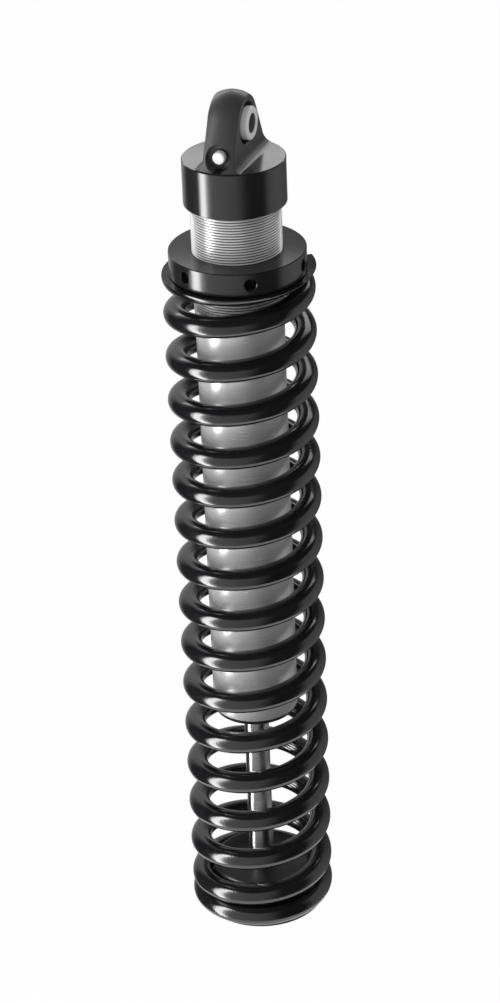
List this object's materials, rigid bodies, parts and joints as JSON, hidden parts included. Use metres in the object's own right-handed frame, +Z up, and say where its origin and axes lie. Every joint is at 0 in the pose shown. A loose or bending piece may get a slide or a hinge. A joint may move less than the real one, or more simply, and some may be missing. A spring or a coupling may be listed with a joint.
{
  "type": "rear shock absorber",
  "caption": "Coil-over rear shock absorber: closed-and-ground coil spring round a threaded gas damper, screw preload collar, spherical bearings in milled eyes at both ends.",
  "frame": {"origin": "centre of the upper eye's bolt bore", "axes": "+Z up the damper axis, +X along both bolt bores, -Y towards the gas port"},
  "size_m": [0.081, 0.081, 0.5161],
  "materials": {
    "black_anodised": "satin black anodised, turned and milled",
    "bright_alloy": "fine-turned silver alloy",
    "machined_alloy": "as-machined alloy",
    "gloss_black_paint": "thick gloss black powder coat",
    "hard_chrome": "ground and polished hard chrome",
    "zinc_steel": "bright zinc-plated turned steel",
    "bearing_steel": "ground bearing steel",
    "spring_steel": "blue-grey spring steel",
    "sintered_bronze": "sintered bronze",
    "nitrile": "black nitrile rubber",
    "elastomer": "dark grey elastomer",
    "ptfe_band": "filled PTFE",
    "acetal": "black acetal"
  },
  "bodies": {
    "damper": {"eye_cap": "black_anodised", "cap_o_ring": "nitrile", "gas_port_plug": "zinc_steel", "gas_port_seal": "nitrile", "upper_bearing_race": "bearing_steel", "upper_snap_rings": "spring_steel", "body_tube": "bright_alloy", "end_cap": "acetal", "seal_head": "machined_alloy", "seal_head_clip": "spring_steel", "seal_head_o_ring": "nitrile", "rod_guide_bush": "sintered_bronze", "rod_seal": "nitrile", "rod_wiper": "nitrile", "topout_bumper": "elastomer", "coil_spring": "gloss_black_paint"},
    "upper_ball": {"upper_bearing_ball": "bearing_steel"},
    "upper_sleeve": {"upper_spacers": "zinc_steel"},
    "perch": {"spring_perch": "acetal"},
    "collar": {"preload_collar": "black_anodised"},
    "gas_piston": {"floating_piston": "machined_alloy", "floating_piston_band": "ptfe_band", "floating_piston_seal": "nitrile"},
    "lower_seat": {"lower_spring_seat": "black_anodised"},
    "rod": {"piston_rod": "hard_chrome", "backing_washers": "bearing_steel", "compression_shims": "spring_steel", "piston": "machined_alloy", "piston_band": "ptfe_band", "rebound_shims": "spring_steel", "piston_nut": "bearing_steel", "lower_eye": "black_anodised", "lower_bearing_race": "bearing_steel", "lower_snap_rings": "spring_steel"},
    "lower_ball": {"lower_bearing_ball": "bearing_steel"},
    "lower_sleeve": {"lower_spacers": "zinc_steel"}
  },
  "joints": [
    {"name": "stroke", "type": "slide", "parent": "damper", "child": "lower_seat", "axis": [0, 0, 1], "range_m": [0, 0.1], "stiffness_N_per_m": 42900, "deforming": ["coil_spring"]},
    {"name": "rod_spin", "type": "hinge", "parent": "lower_seat", "child": "rod", "pos_m": [0, 0, -0.4604], "axis": [0, 0, 1], "continuous": true},
    {"name": "gas_piston_slide", "type": "slide", "parent": "damper", "child": "gas_piston", "axis": [0, 0, 1], "range_m": [0, 0.0125]},
    {"name": "perch_slide", "type": "slide", "parent": "damper", "child": "perch", "axis": [0, 0, 1], "range_m": [0, 0.022]},
    {"name": "collar_turn", "type": "hinge", "parent": "perch", "child": "collar", "pos_m": [0, 0, -0.0761], "axis": [0, 0, 1], "range_deg": [0, 5280]},
    {"name": "upper_tilt", "type": "hinge", "parent": "damper", "child": "upper_ball", "pos_m": [0, 0, 0], "axis": [0, 1, 0], "range_deg": [-6, 6]},
    {"name": "upper_swing", "type": "hinge", "parent": "upper_ball", "child": "upper_sleeve", "pos_m": [0, 0, 0], "axis": [1, 0, 0], "continuous": true},
    {"name": "lower_tilt", "type": "hinge", "parent": "rod", "child": "lower_ball", "pos_m": [0, 0, -0.4865], "axis": [0, 1, 0], "range_deg": [-6, 6]},
    {"name": "lower_swing", "type": "hinge", "parent": "lower_ball", "child": "lower_sleeve", "pos_m": [0, 0, -0.4865], "axis": [1, 0, 0], "continuous": true}
  ],
  "couplings": [
    {"joint": "gas_piston_slide", "follows": "stroke", "ratio": 0.1225},
    {"joint": "perch_slide", "follows": "collar_turn", "m_per_rad": 0.00023873}
  ]
}
